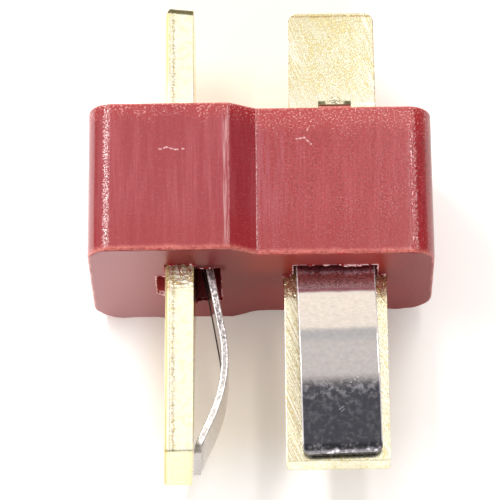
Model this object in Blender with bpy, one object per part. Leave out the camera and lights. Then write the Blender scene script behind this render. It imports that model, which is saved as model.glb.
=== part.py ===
"""Plug half of a T-style battery connector: a moulded body that holds two spade contacts at right
angles to each other, each with a bowed leaf spring on one face.

Metres, +Z up. The centre of the mating face is the origin. X runs across the body, -Y is the mating
side, +Y is the solder side, and Z is the body's thickness.
"""

from math import atan2, cos, hypot, pi, radians, sin, tan

import bmesh
import bpy
from mathutils import Matrix, Vector

MM = 0.001

# Moulded body, keyed by a thick half and a thin half
BODY_WIDTH = 16.0 * MM
BODY_LENGTH = 7.45 * MM
THICK_HALF_DEPTH = 8.4 * MM
THIN_HALF_DEPTH = 7.0 * MM
RIDGE_X = -1.42 * MM
KEY_SLOPE_WIDTH = 1.25 * MM
FRONT_CORNER_RADIUS = 1.1 * MM
BACK_CORNER_RADIUS = 1.55 * MM
RIDGE_RADIUS = 0.3 * MM
FOOT_RADIUS = 0.24 * MM
END_EDGE_RADIUS = 0.15 * MM

# Spade contacts, stamped from one gauge of brass
CONTACT_GAUGE = 1.32 * MM
BLADE_WIDTH = 4.77 * MM
BLADE_REACH = 9.15 * MM
BLADE_CORNER_RADIUS = 0.15 * MM
TAB_REACH = 6.15 * MM
TAB_ROOT_WIDTH = 4.17 * MM
TAB_END_WIDTH = 4.07 * MM
TAB_CORNER_RADIUS = 0.48 * MM
SHOULDER_RADIUS = 0.2 * MM
SHOULDER_WEB = 1.6 * MM
DIE_ROLL_RADIUS = 0.16 * MM
SHEARED_EDGE_RADIUS = 0.03 * MM
CONTACT_PITCH = 7.2 * MM
PITCH_CENTRE_X = -0.18 * MM
FLAT_CONTACT_RISE = 0.25 * MM

# Stake mark beside each tab: a struck groove in the tab over a small pad of the body
STAKE_WIDTH = 1.5 * MM
STAKE_OFFSET = 0.12 * MM
STAKE_PAD_HEIGHT = 0.72 * MM
STAKE_PAD_DEPTH = 1.05 * MM
STAKE_GROOVE_RADIUS = 0.2 * MM
STAKE_GROOVE_DEPTH = 0.07 * MM
STAKE_GROOVE_RISE = 0.46 * MM

# Leaf springs, bent from flat steel strip
LEAF_GAUGE = 0.34 * MM
LEAF_WIDTH = 3.65 * MM
LEAF_BOW = 1.59 * MM
LEAF_CREST_RADIUS = 7.0 * MM
LEAF_TIP_ANGLE = radians(23.0)
LEAF_ROOT_ANGLE = radians(10.5)
LEAF_TIP_SETBACK = 0.23 * MM
LEAF_LIP_RADIUS = 0.8 * MM
LEAF_LIP_FLAT = 0.06 * MM
LEAF_ROOT_BEND_RADIUS = 1.0 * MM
LEAF_ROOT_FLAT = 0.8 * MM
LEAF_CORNER_RADIUS = 0.4 * MM
LEAF_EDGE_RADIUS = 0.05 * MM
FLAT_LEAF_SKEW = radians(1.3)

# Clearances
SLOT_CLEARANCE = 0.05 * MM
LEAF_SEAT_CLEARANCE = 0.05 * MM
POCKET_OVER_LEAF = 0.35 * MM
POCKET_BESIDE_LEAF = 0.15 * MM
POCKET_BEHIND_LEAF = 0.25 * MM
RELIEF_WIDTH = 2.1 * MM
RELIEF_DEPTH = 0.45 * MM
RELIEF_LENGTH = 2.0 * MM

# Fineness of the curves
CORNER_STEPS = 10
SMALL_CORNER_STEPS = 4
EDGE_STEPS = 4
CREST_STEPS = 26
BEND_STEPS = 6
CUTTER_MARGIN = 1.0 * MM

# Places that follow from the sizes
BODY_END = BODY_LENGTH
SHOULDER_END = BODY_LENGTH - SHOULDER_WEB
TAB_END = BODY_LENGTH + TAB_REACH
FACE = CONTACT_GAUGE / 2
EDGE_CONTACT_X = PITCH_CENTRE_X - CONTACT_PITCH / 2
FLAT_CONTACT_X = PITCH_CENTRE_X + CONTACT_PITCH / 2
LEAF_TIP_Y = LEAF_TIP_SETBACK - BLADE_REACH


def clear_scene():
    for obj in list(bpy.data.objects):
        bpy.data.objects.remove(obj, do_unlink=True)


def material(name, colour, roughness, metallic):
    made = bpy.data.materials.new(name)
    made.use_nodes = True
    shader = made.node_tree.nodes["Principled BSDF"]
    shader.inputs["Base Color"].default_value = (*colour, 1.0)
    shader.inputs["Roughness"].default_value = roughness
    shader.inputs["Metallic"].default_value = metallic
    made.diffuse_color = (*colour, 1.0)
    return made


def red_nylon():
    return material("red_nylon", (0.48, 0.07, 0.09), 0.45, 0.0)


def pale_brass():
    return material("pale_brass", (0.86, 0.72, 0.38), 0.3, 1.0)


def spring_steel():
    return material("spring_steel", (0.55, 0.55, 0.56), 0.3, 1.0)


def rounded_outline(corners):
    """Points round a closed polygon, anticlockwise, each with its outward normal.

    corners holds (x, y, radius, steps) for each corner. A straight corner adds one point.
    """
    outline = []
    for i, (x, y, radius, steps) in enumerate(corners):
        here = Vector((x, y))
        back = (Vector(corners[i - 1][:2]) - here).normalized()
        ahead = (Vector(corners[(i + 1) % len(corners)][:2]) - here).normalized()
        start_normal = Vector((-back.y, back.x))
        turn = atan2((-back).cross(ahead), (-back).dot(ahead))
        side = 1 if turn > 0 else -1
        centre = here + back * radius * tan(abs(turn) / 2) - start_normal * radius * side
        for step in range(steps + 1):
            normal = Matrix.Rotation(turn * step / steps, 2) @ start_normal
            outline.append((centre + normal * radius * side, normal))
    return outline


def prism(name, outline, levels, place):
    """A closed solid: the outline, drawn in by each level's inset, at each level's height.

    levels runs from one end of the prism to the other. place turns (x, y, height) into a point.
    """
    shape = bmesh.new()
    rings = []
    for inset, height in levels:
        flat = [point - normal * inset for point, normal in outline]
        rings.append([shape.verts.new(place(p.x, p.y, height)) for p in flat])
    for low, high in zip(rings, rings[1:]):
        for i in range(len(low)):
            j = (i + 1) % len(low)
            shape.faces.new((low[i], low[j], high[j], high[i]))
    shape.faces.new(rings[0][::-1])
    shape.faces.new(rings[-1])
    return mesh_object(name, shape)


def mesh_object(name, shape):
    bmesh.ops.recalc_face_normals(shape, faces=shape.faces)
    mesh = bpy.data.meshes.new(name)
    shape.to_mesh(mesh)
    shape.free()
    mesh.shade_smooth()
    mesh.set_sharp_from_angle(angle=radians(32))
    obj = bpy.data.objects.new(name, mesh)
    bpy.context.scene.collection.objects.link(obj)
    return obj


def rounded_end(radius, end, inward):
    """Levels that round the edge at one end of a prism, from the end face inwards."""
    levels = []
    for step in range(EDGE_STEPS + 1):
        angle = pi / 2 * step / EDGE_STEPS
        levels.append((radius * (1 - sin(angle)), end + inward * radius * (1 - cos(angle))))
    return levels


def box(name, x_range, y_range, z_range):
    shape = bmesh.new()
    bmesh.ops.create_cube(shape, size=1.0)
    lows, highs = zip(x_range, y_range, z_range)
    for vert in shape.verts:
        for axis in range(3):
            vert.co[axis] = highs[axis] if vert.co[axis] > 0 else lows[axis]
    return mesh_object(name, shape)


def helper(obj, parent):
    """Marks a solid that only cuts or adds to another."""
    obj.parent = parent
    obj.hide_render = True
    obj.display_type = "WIRE"
    return obj


def combine(target, other, operation):
    modifier = target.modifiers.new(other.name, "BOOLEAN")
    modifier.operation = operation
    modifier.solver = "EXACT"
    modifier.object = other


def body_outline():
    """Front is +Z and back is -Z. The thick half lies at -X and the key slopes are alike on both faces."""
    side = BODY_WIDTH / 2
    thick = THICK_HALF_DEPTH / 2
    thin = THIN_HALF_DEPTH / 2
    foot = RIDGE_X + KEY_SLOPE_WIDTH
    return rounded_outline(
        [
            (-side, -thick, BACK_CORNER_RADIUS, CORNER_STEPS),
            (RIDGE_X, -thick, RIDGE_RADIUS, SMALL_CORNER_STEPS),
            (foot, -thin, FOOT_RADIUS, SMALL_CORNER_STEPS),
            (side, -thin, BACK_CORNER_RADIUS, CORNER_STEPS),
            (side, thin, FRONT_CORNER_RADIUS, CORNER_STEPS),
            (foot, thin, FOOT_RADIUS, SMALL_CORNER_STEPS),
            (RIDGE_X, thick, RIDGE_RADIUS, SMALL_CORNER_STEPS),
            (-side, thick, FRONT_CORNER_RADIUS, CORNER_STEPS),
        ]
    )


def make_body():
    mating_end = rounded_end(END_EDGE_RADIUS, 0.0, 1)
    solder_end = rounded_end(END_EDGE_RADIUS, BODY_END, -1)
    levels = mating_end + solder_end[::-1]
    body = prism("moulded_body", body_outline(), levels, lambda x, z, y: (x, y, z))
    body.data.materials.append(red_nylon())
    return body


def contact_outline():
    """One stamping: the wide blade at -Y, a shoulder inside the body, and the solder tab at +Y."""
    blade = BLADE_WIDTH / 2
    tab_root = TAB_ROOT_WIDTH / 2
    tab_end = TAB_END_WIDTH / 2
    right = [
        (blade, -BLADE_REACH, BLADE_CORNER_RADIUS, SMALL_CORNER_STEPS),
        (blade, SHOULDER_END, SHOULDER_RADIUS, SMALL_CORNER_STEPS),
        (tab_root, SHOULDER_END, SHOULDER_RADIUS, SMALL_CORNER_STEPS),
        (tab_end, TAB_END, TAB_CORNER_RADIUS, CORNER_STEPS),
    ]
    left = [(-x, y, radius, steps) for x, y, radius, steps in reversed(right)]
    return rounded_outline(right + left)


def make_contact(name, seat, finish):
    """The stamping's sheared edges are sharp on the spring's face and rolled over on the other."""
    rolled = rounded_end(DIE_ROLL_RADIUS, -FACE, 1)
    sheared = rounded_end(SHEARED_EDGE_RADIUS, FACE, -1)
    contact = prism(name, contact_outline(), rolled + sheared[::-1], lambda x, y, z: (x, y, z))
    contact.data.materials.append(finish)
    contact.parent = seat
    combine(contact, stake_groove(name, seat), "DIFFERENCE")
    return contact


def stake_groove(name, seat):
    shape = bmesh.new()
    bmesh.ops.create_cone(
        shape,
        cap_ends=True,
        segments=32,
        radius1=STAKE_GROOVE_RADIUS,
        radius2=STAKE_GROOVE_RADIUS,
        depth=STAKE_WIDTH,
        matrix=Matrix.Rotation(pi / 2, 4, "Y"),
    )
    groove = helper(mesh_object(name + "_stake_groove", shape), seat)
    groove.location = (
        STAKE_OFFSET,
        BODY_END + STAKE_PAD_HEIGHT + STAKE_GROOVE_RISE,
        FACE + STAKE_GROOVE_RADIUS - STAKE_GROOVE_DEPTH,
    )
    return groove


def leaf_path():
    """Centre line of a leaf from its tip to its root: (y, height over the blade, heading)."""
    seat_height = LEAF_SEAT_CLEARANCE + LEAF_GAUGE / 2
    climb = LEAF_BOW - LEAF_GAUGE / 2 - seat_height
    path = [(LEAF_TIP_Y, seat_height, 0.0)]

    def straight(length):
        y, height, heading = path[-1]
        path.append((y + length * cos(heading), height + length * sin(heading), heading))

    def bend(radius, new_heading, steps):
        y, height, heading = path[-1]
        side = 1 if new_heading > heading else -1
        for step in range(1, steps + 1):
            angle = heading + (new_heading - heading) * step / steps
            path.append(
                (
                    y + side * radius * (sin(angle) - sin(heading)),
                    height - side * radius * (cos(angle) - cos(heading)),
                    angle,
                )
            )

    def leg(angle, end_radius):
        straight((climb - (LEAF_CREST_RADIUS + end_radius) * (1 - cos(angle))) / sin(angle))

    straight(LEAF_LIP_FLAT)
    bend(LEAF_LIP_RADIUS, LEAF_TIP_ANGLE, BEND_STEPS)
    leg(LEAF_TIP_ANGLE, LEAF_LIP_RADIUS)
    bend(LEAF_CREST_RADIUS, -LEAF_ROOT_ANGLE, CREST_STEPS)
    leg(LEAF_ROOT_ANGLE, LEAF_ROOT_BEND_RADIUS)
    bend(LEAF_ROOT_BEND_RADIUS, 0.0, BEND_STEPS)
    straight(LEAF_ROOT_FLAT)
    return path


def leaf_mouth_height():
    """Height of the leaf's centre line over the blade where it leaves the body, at y = 0."""
    path = leaf_path()
    for (y0, h0, _), (y1, h1, _) in zip(path, path[1:]):
        if y0 <= 0.0 <= y1:
            return h0 + (h1 - h0) * (0.0 - y0) / (y1 - y0)
    return path[-1][1]


def leaf_stations():
    """The path with each point's half width. Extra points near the tip round its corners."""
    path = leaf_path()
    stations = []
    travelled = 0.0
    marks = [
        LEAF_CORNER_RADIUS * (1 - cos(pi / 2 * step / BEND_STEPS)) for step in range(BEND_STEPS + 1)
    ]
    for here, there in zip(path, path[1:]):
        length = hypot(there[0] - here[0], there[1] - here[1])
        inside = [mark for mark in marks if travelled < mark < travelled + length]
        for at in [travelled, *inside]:
            share = (at - travelled) / length
            y, height, heading = (a + (b - a) * share for a, b in zip(here, there))
            stations.append((y, height, heading, leaf_half_width(at)))
        travelled += length
    stations.append((*path[-1], LEAF_WIDTH / 2))
    return stations


def leaf_half_width(from_tip):
    left = max(LEAF_CORNER_RADIUS - from_tip, 0.0)
    return LEAF_WIDTH / 2 - LEAF_CORNER_RADIUS + (LEAF_CORNER_RADIUS**2 - left**2) ** 0.5


def leaf_section(half_width):
    """Half-rounded corners of the strip's section, as (across, through) pairs."""
    half = LEAF_GAUGE / 2
    edge = LEAF_EDGE_RADIUS
    corners = ((1, -1), (1, 1), (-1, 1), (-1, -1))
    points = []
    for across, through in corners:
        flat = ((half_width - edge) * across, half * through)
        side = (half_width * across, (half - edge) * through)
        points += [flat, side] if across == -through else [side, flat]
    return points


def make_leaf(name, seat, skew, finish):
    """A bowed leaf spring. It is skewed about the middle of its pocket's mouth."""
    shape = bmesh.new()
    rings = []
    for y, height, heading, half_width in leaf_stations():
        ring = []
        for across, through in leaf_section(half_width):
            at = (across, y - through * sin(heading), height + through * cos(heading))
            ring.append(shape.verts.new(at))
        rings.append(ring)
    for low, high in zip(rings, rings[1:]):
        for i in range(len(low)):
            j = (i + 1) % len(low)
            shape.faces.new((low[i], low[j], high[j], high[i]))
    shape.faces.new(rings[0][::-1])
    shape.faces.new(rings[-1])
    leaf = mesh_object(name, shape)
    leaf.data.materials.append(finish)
    leaf.parent = seat
    leaf.location = (0.0, 0.0, FACE)
    leaf.rotation_euler = (0.0, 0.0, skew)
    return leaf


def slot_cutters(name, seat):
    """Openings for one contact and its leaf, in the frame of the contact's seat."""
    past = -CUTTER_MARGIN
    blade = BLADE_WIDTH / 2 + SLOT_CLEARANCE
    tab = TAB_ROOT_WIDTH / 2 + SLOT_CLEARANCE
    face = FACE + SLOT_CLEARANCE
    pocket = LEAF_WIDTH / 2 + POCKET_BESIDE_LEAF
    pocket_top = FACE + leaf_mouth_height() + LEAF_GAUGE / 2 + POCKET_OVER_LEAF
    pocket_end = leaf_path()[-1][0] + POCKET_BEHIND_LEAF
    relief = RELIEF_WIDTH / 2
    openings = {
        "blade_slot": ((-blade, blade), (past, SHOULDER_END + SLOT_CLEARANCE), (-face, face)),
        "tab_slot": ((-tab, tab), (0.0, BODY_END + CUTTER_MARGIN), (-face, face)),
        "leaf_pocket": ((-pocket, pocket), (past, pocket_end), (0.0, pocket_top)),
        "relief_notch": ((-relief, relief), (past, RELIEF_LENGTH), (-face - RELIEF_DEPTH, 0.0)),
    }
    return [helper(box(f"{name}_{part}", *sides), seat) for part, sides in openings.items()]


def stake_pad(name, seat):
    """The pad of the body beside a tab. Its foot runs into the body, where the two are joined."""
    half = STAKE_WIDTH / 2
    near = FACE + SLOT_CLEARANCE
    pad = box(
        name + "_stake_pad",
        (STAKE_OFFSET - half, STAKE_OFFSET + half),
        (BODY_END - SHOULDER_WEB / 2, BODY_END + STAKE_PAD_HEIGHT),
        (near, near + STAKE_PAD_DEPTH),
    )
    return helper(pad, seat)


def make_seat(name, location, turn):
    """The middle plane of a contact's blade, where it meets the mating face."""
    seat = bpy.data.objects.new(name, None)
    bpy.context.scene.collection.objects.link(seat)
    seat.location = location
    seat.rotation_euler = (0.0, turn, 0.0)
    return seat


def main():
    clear_scene()
    body = make_body()
    brass = pale_brass()
    steel = spring_steel()
    seats = {
        "edge": (make_seat("edge_seat", (EDGE_CONTACT_X, 0.0, 0.0), pi / 2), 0.0),
        "flat": (make_seat("flat_seat", (FLAT_CONTACT_X, 0.0, FLAT_CONTACT_RISE), 0.0), FLAT_LEAF_SKEW),
    }
    for name, (seat, skew) in seats.items():
        combine(body, stake_pad(name, seat), "UNION")
        for cutter in slot_cutters(name, seat):
            combine(body, cutter, "DIFFERENCE")
        make_contact(name + "_contact", seat, brass)
        make_leaf(name + "_leaf_spring", seat, skew, steel)


main()
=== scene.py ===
"""Looks of the T-style plug: moulded nylon body, stamped brass contacts and bright steel leaf springs.

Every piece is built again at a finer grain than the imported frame, at the frame's own sizes and places.
Metres, in the frame's axes: -Y is the mating side, +Y the solder side and +Z the front.
"""

from math import atan2, ceil, cos, hypot, pi, radians, sin, tan

import bmesh
import bpy
from mathutils import Matrix, Vector, noise


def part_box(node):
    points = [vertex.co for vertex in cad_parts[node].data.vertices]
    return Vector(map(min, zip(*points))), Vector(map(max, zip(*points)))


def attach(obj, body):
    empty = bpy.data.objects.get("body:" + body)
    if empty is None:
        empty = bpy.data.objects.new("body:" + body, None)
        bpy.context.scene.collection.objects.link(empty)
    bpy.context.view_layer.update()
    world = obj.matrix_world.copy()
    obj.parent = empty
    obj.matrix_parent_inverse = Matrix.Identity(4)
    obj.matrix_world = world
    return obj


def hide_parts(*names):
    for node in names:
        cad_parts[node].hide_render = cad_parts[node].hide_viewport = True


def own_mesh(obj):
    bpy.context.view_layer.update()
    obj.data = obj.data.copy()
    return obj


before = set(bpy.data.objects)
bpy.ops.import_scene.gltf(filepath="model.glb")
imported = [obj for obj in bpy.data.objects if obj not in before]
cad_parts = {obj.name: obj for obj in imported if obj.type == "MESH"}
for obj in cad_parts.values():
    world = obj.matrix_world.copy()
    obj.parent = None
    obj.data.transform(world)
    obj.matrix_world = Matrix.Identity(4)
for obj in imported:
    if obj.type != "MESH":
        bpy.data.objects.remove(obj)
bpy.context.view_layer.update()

MM = 0.001
BLACK = (0.0, 0.0, 0.0)
WHITE = (1.0, 1.0, 1.0)

# Camera, fitted to the photograph
CAMERA_TARGET = Vector((-0.546, 1.702, 0.0)) * MM
CAMERA_TILT = radians(22.92)
CAMERA_TURN = radians(1.498)
CAMERA_ROLL = radians(-2.134)
CAMERA_DISTANCE = 164.7 * MM
CAMERA_LENS = 252.5

# Sizes read from the frame
BODY_LOW, BODY_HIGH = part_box("moulded_body")
EDGE_LOW, EDGE_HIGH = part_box("edge_contact")
FLAT_LOW, FLAT_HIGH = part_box("flat_contact")
BODY_WIDTH = BODY_HIGH.x - BODY_LOW.x
THICK_HALF_DEPTH = BODY_HIGH.z - BODY_LOW.z
CONTACT_GAUGE = FLAT_HIGH.z - FLAT_LOW.z
BLADE_WIDTH = FLAT_HIGH.x - FLAT_LOW.x
BLADE_TIP = FLAT_LOW.y
TAB_END = FLAT_HIGH.y
EDGE_CONTACT_X = (EDGE_LOW.x + EDGE_HIGH.x) / 2
FLAT_CONTACT_X = (FLAT_LOW.x + FLAT_HIGH.x) / 2
FLAT_CONTACT_Z = (FLAT_LOW.z + FLAT_HIGH.z) / 2
TABLE_Z = BODY_LOW.z

# Moulded body
BODY_END = 7.45 * MM
THIN_HALF_DEPTH = 7.0 * MM
RIDGE_X = -1.42 * MM
KEY_SLOPE_WIDTH = 1.25 * MM
FRONT_CORNER_RADIUS = 1.1 * MM
BACK_CORNER_RADIUS = 1.45 * MM
RIDGE_RADIUS = 0.3 * MM
FOOT_RADIUS = 0.24 * MM
END_EDGE_RADIUS = 0.15 * MM
RIM_WAVE = 0.05 * MM
RIM_WAVE_REACH = 0.5 * MM
RIM_WAVES_PER_METRE = 1500

# Contacts
TAB_ROOT_WIDTH = 4.17 * MM
TAB_END_WIDTH = 4.07 * MM
BLADE_CORNER_RADIUS = 0.15 * MM
TAB_CORNER_RADIUS = 0.48 * MM
SHOULDER_RADIUS = 0.2 * MM
SHOULDER_Y = BODY_END - 1.6 * MM
DIE_ROLL_RADIUS = 0.16 * MM
SHEARED_EDGE_RADIUS = 0.03 * MM
EDGE_CONTACT_LEAN = tan(radians(2.2))
LEAN_PIVOT_SLOPE = 1 / 8
TAB_TAPER = 0.0081
DRAG_ANGLE = radians(-22.0)
FACE = CONTACT_GAUGE / 2

# Torn zone on the contacts' cut sides, and the slanted end of the edge contact's tab
TEAR_LINE = -0.28 * MM
TEAR_WANDER = 0.1 * MM
TEAR_DEPTH = 0.006 * MM
TEAR_WAVES_PER_METRE = 2600
TEAR_GRAINS_PER_METRE = 6000
CORNER_ROLL = 0.4 * MM
END_SLANT = 0.12
END_SLANT_REACH = 0.8 * MM

# Stake marks
STAKE_WIDTH = 1.5 * MM
STAKE_OFFSET = 0.12 * MM
STAKE_PAD_TOP = BODY_HIGH.y
STAKE_PAD_DEPTH = 1.05 * MM
STAKE_GROOVE_RADIUS = 0.2 * MM
STAKE_GROOVE_DEPTH = 0.07 * MM
STAKE_GROOVE_Y = STAKE_PAD_TOP + 0.46 * MM

# Leaf springs
LEAF_GAUGE = 0.34 * MM
LEAF_WIDTH = 3.65 * MM
LEAF_BOW = 1.59 * MM
LEAF_CREST_RADIUS = 7.0 * MM
LEAF_TIP_ANGLE = radians(23.0)
LEAF_ROOT_ANGLE = radians(10.5)
LEAF_TIP_Y = BLADE_TIP + 0.23 * MM
LEAF_LIP_RADIUS = 0.8 * MM
LEAF_LIP_FLAT = 0.06 * MM
LEAF_ROOT_BEND_RADIUS = 1.0 * MM
LEAF_ROOT_FLAT = 0.8 * MM
LEAF_CORNER_RADIUS = 0.4 * MM
LEAF_EDGE_RADIUS = 0.07 * MM
LEAF_FLAT_START = 0.1 * MM
LEAF_SEAT_CLEARANCE = 0.05 * MM
FLAT_LEAF_SKEW = radians(1.3)

# Openings in the body
SLOT_CLEARANCE = 0.05 * MM
POCKET_OVER_LEAF = 0.35 * MM
POCKET_BESIDE_LEAF = 0.15 * MM
POCKET_BEHIND_LEAF = 0.25 * MM
RELIEF_WIDTH = 2.1 * MM
RELIEF_DEPTH = 0.45 * MM
RELIEF_LENGTH = 2.0 * MM
CUTTER_MARGIN = 1.0 * MM

# Flash round the openings
FLASH_SPACING = 0.06 * MM
FLASH_SEAT = 0.028 * MM
FLASH_FOOT = 0.004 * MM
FLASH_ROOT = 0.12 * MM
FLASH_HEIGHT = 0.12 * MM
FLASH_LEAN = 0.055 * MM
FLASH_TEETH_PER_METRE = 3500
FLASH_SWELLS_PER_METRE = 700

# Scratches, as ends of straight lines in millimetres on their own pieces
NYLON_SCRATCHES = (
    ((-4.66, 5.06, 0.0), (-4.56, 5.06, 0.0)),
    ((-4.44, 5.10, 0.0), (-4.34, 5.16, 0.0)),
    ((-4.30, 5.14, 0.0), (-3.92, 5.02, 0.0)),
    ((-3.90, 5.02, 0.0), (-3.80, 5.03, 0.0)),
    ((-3.58, 5.06, 0.0), (-3.52, 5.05, 0.0)),
    ((2.38, 6.70, 0.0), (2.06, 5.86, 0.0)),
    ((2.06, 5.86, 0.0), (2.38, 5.53, 0.0)),
    ((1.70, 5.80, 0.0), (2.06, 5.86, 0.0)),
)
LEAF_GLINTS = (
    ((0.47, -5.89, 1.445), (0.80, -5.67, 1.487)),
    ((-0.08, -7.05, 1.10), (0.11, -6.93, 1.147)),
    ((0.01, -7.14, 1.065), (0.20, -7.02, 1.115)),
    ((-1.37, -7.51, 0.896), (-1.24, -7.72, 0.806)),
)

# Nylon colours
THICK_HALF_NYLON = (0.321, 0.014, 0.029)
THICK_HALF_STREAK = (0.393, 0.045, 0.064)
THIN_HALF_NYLON = (0.292, 0.004, 0.012)
THIN_HALF_STREAK = (0.378, 0.025, 0.042)
STEEP_FACE_SHADE_NYLON = (0.214, 0.004, 0.007)
MOTTLED_NYLON = (0.44, 0.026, 0.038)
LILAC_SHEEN_NYLON = (0.381, 0.083, 0.119)
MATING_END_NYLON = (0.333, 0.004, 0.010)
SOLDER_END_NYLON = (0.416, 0.004, 0.007)
FLECK_AND_GLINT_NYLON = (0.952, 0.500, 0.500)
WORN_AND_HIGHLIGHT_NYLON = (0.970, 0.690, 0.714)
RIM_HIGHLIGHT_NYLON = (0.881, 0.262, 0.226)
OPENING_FILL_LIGHT_NYLON = (0.928, 0.202, 0.238)
BRASS_REFLECTION_NYLON = (0.619, 0.036, 0.021)
LEDGE_NYLON = (0.202, 0.007, 0.012)
SCRATCHED_NYLON = (0.970, 0.619, 0.631)
LOW_FLASH = (0.512, 0.020, 0.033)
THIN_FLASH = (1.0, 0.845, 0.896)
THIN_FLASH_PAINTED_GLOW = (1.0, 0.50, 0.54)
THIN_FLASH_PAINTED_GLOW_STRENGTH = 0.28

# Brass colours
FACE_BRASS = (0.97, 0.98, 0.78)
CUT_BRASS = (0.93, 0.94, 0.83)
PALE_BRASS = (1.0, 0.97, 0.84)
TAN_BRASS = (0.72, 0.64, 0.33)
ROLLED_BRASS = (0.76, 0.68, 0.39)
BROWN_BRASS = (0.50, 0.27, 0.08)
TORN_BRASS = (0.48, 0.39, 0.21)
OLIVE_BRASS = (0.12, 0.115, 0.055)
YELLOW_BRASS = (0.88, 0.90, 0.47)
EDGE_TIP_BRASS = (0.80, 0.76, 0.43)
OUTLINE_BRASS = (0.24, 0.15, 0.05)

# Steel colours
STEEL = (0.53, 0.52, 0.53)
LIGHT_STEEL = (0.76, 0.74, 0.73)
ROOT_STEEL = (0.34, 0.27, 0.31)
LIGHT_ROOT_STEEL = (0.84, 0.70, 0.72)
PINK_ROOT_STEEL = (0.46, 0.20, 0.26)
CUT_STEEL = (0.26, 0.242, 0.248)
LIGHT_CUT_STEEL = (0.78, 0.74, 0.75)
CREST_CUT_STEEL = (1.0, 0.97, 0.96)
BORDER_HIGHLIGHT_STEEL = (0.97, 0.93, 0.93)
SHADE_STEEL = (0.01, 0.01, 0.01)
LIP_SHADE_STEEL = (0.10, 0.10, 0.11)
TIP_STEEL = (0.40, 0.38, 0.37)
EDGE_LEAF_LOW_STEEL = (0.77, 0.74, 0.705)
FLAT_LEAF_LOW_STEEL = (0.70, 0.70, 0.84)

# Bump heights, and an index of refraction above real nylon's for the strong gloss in the photo
NYLON_BUMP = 0.024 * MM
BRASS_BUMP = 0.010 * MM
STEEL_BUMP = 0.006 * MM
NYLON_IOR = 1.78
FLASH_IOR = 1.53

# Studio. The colours of the lights also say how bright that part of the sky is, so one passes 1.
TABLE_HALF_SIZE = 0.6
TABLE_COLOUR = (0.93, 0.91, 0.905)
WARM_SHADE_TABLE_COLOUR = (0.90, 0.80, 0.66)
TABLE_SEEN_GLOW = 0.25
TABLE_MIRRORED_GLOW = 0.18
TABLE_LEFT_MIRRORED_GLOW = 0.95
TABLE_FRONT_GLOW = 0.22
TABLE_LEFT_SEEN_GLOW = 0.12
TABLE_RIGHT_SEEN_GLOW = 0.19
LAMP_DISTANCE = 0.30
LEFT_LAMP_WAY = (-0.42, 0.30, 0.86)
LEFT_LAMP_SIZE = (0.036, 0.20)
LEFT_LAMP_RADIANCE = 20.2
LEFT_LAMP_COLOUR = (1.0, 0.99, 0.97)
RIGHT_LAMP_WAY = (0.25, 0.32, 0.91)
RIGHT_LAMP_SIZE = (0.032, 0.16)
RIGHT_LAMP_RADIANCE = 9.8
RIGHT_LAMP_COLOUR = (1.0, 0.98, 0.96)
OVERHEAD_LIGHT = (0.90, 0.83, 0.79)
LEFT_LIGHT = (0.90, 0.86, 0.82)
RIGHT_LIGHT = (0.22, 0.20, 0.20)
MATING_SIDE_LIGHT = (0.40, 0.34, 0.285)
SOLDER_SIDE_LIGHT = (1.56, 1.38, 1.18)
GREY_BAND_LIGHT = (0.74, 0.715, 0.705)
HORIZON_LIGHT = (0.36, 0.33, 0.28)
DIM_PATCH_LIGHT = (0.10, 0.10, 0.105)
DIM_PATCH_WAY = Vector((0.0, sin(radians(-27.0)), cos(radians(-27.0))))
DIM_PATCH_RIM = radians(32.0)
DIM_PATCH_CORE = radians(19.0)

# Fineness of the meshes
BODY_SPACING = 0.14 * MM
CONTACT_SPACING = 0.07 * MM
LEAF_SPACING = 0.1 * MM
CORNER_STEPS = 18
SMALL_CORNER_STEPS = 8
EDGE_STEPS = 6
LEAF_CORNER_STEPS = 12
LEAF_EDGE_STEPS = 4
GROOVE_SEGMENTS = 64
SHARP_ANGLE = radians(34)
LARGE_FACE_CORNERS = 8


class Wire:
    """A shader socket whose arithmetic adds Math nodes."""

    def __init__(self, paint, socket):
        self.paint = paint
        self.socket = socket

    def maths(self, operation, *values):
        return self.paint.node("Math", {"operation": operation}, dict(enumerate(values)))

    def __add__(self, other):
        return self.maths("ADD", self, other)

    def __sub__(self, other):
        return self.maths("SUBTRACT", self, other)

    def __rsub__(self, other):
        return self.maths("SUBTRACT", other, self)

    def __mul__(self, other):
        return self.maths("MULTIPLY", self, other)

    def __truediv__(self, other):
        return self.maths("DIVIDE", self, other)

    def __abs__(self):
        return self.maths("ABSOLUTE", self)

    __radd__ = __add__
    __rmul__ = __mul__


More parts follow.
